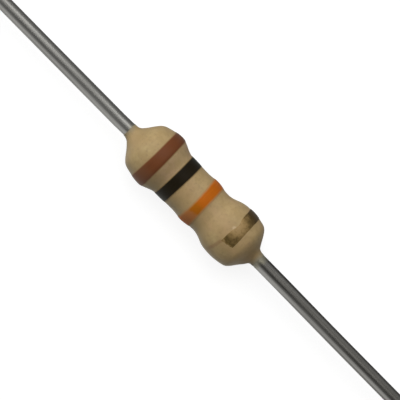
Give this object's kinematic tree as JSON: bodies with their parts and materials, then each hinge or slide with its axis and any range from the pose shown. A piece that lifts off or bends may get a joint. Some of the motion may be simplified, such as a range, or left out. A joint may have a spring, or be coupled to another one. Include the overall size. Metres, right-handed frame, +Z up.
{
  "type": "axial resistor",
  "caption": "Axial carbon-film resistor: a tan lacquered dumbbell body with colour-code bands and a straight tinned wire lead at each end.",
  "frame": {"origin": "middle of the lacquered body, on the axis of the wire", "axes": "+X along the axis, from the first digit's band towards the tolerance band; +Z up, with the tolerance band's unpainted stretch on the -Y side"},
  "size_m": [0.0624, 0.0024, 0.0022],
  "materials": {
    "ceramic": "matte",
    "carbon": "satin",
    "cap_steel": "satin",
    "tinned_wire": "satin",
    "lacquer": "satin",
    "brown_paint": "satin",
    "black_paint": "satin",
    "orange_paint": "satin",
    "gold_paint": "satin"
  },
  "bodies": {
    "root": {"ceramic_core": "ceramic", "carbon_film": "carbon", "first_end_cap": "cap_steel", "second_end_cap": "cap_steel", "first_lead": "tinned_wire", "second_lead": "tinned_wire", "lacquer_coat": "lacquer", "first_digit_band": "brown_paint", "second_digit_band": "black_paint", "multiplier_band": "orange_paint", "tolerance_band": "gold_paint"}
  },
  "joints": []
}
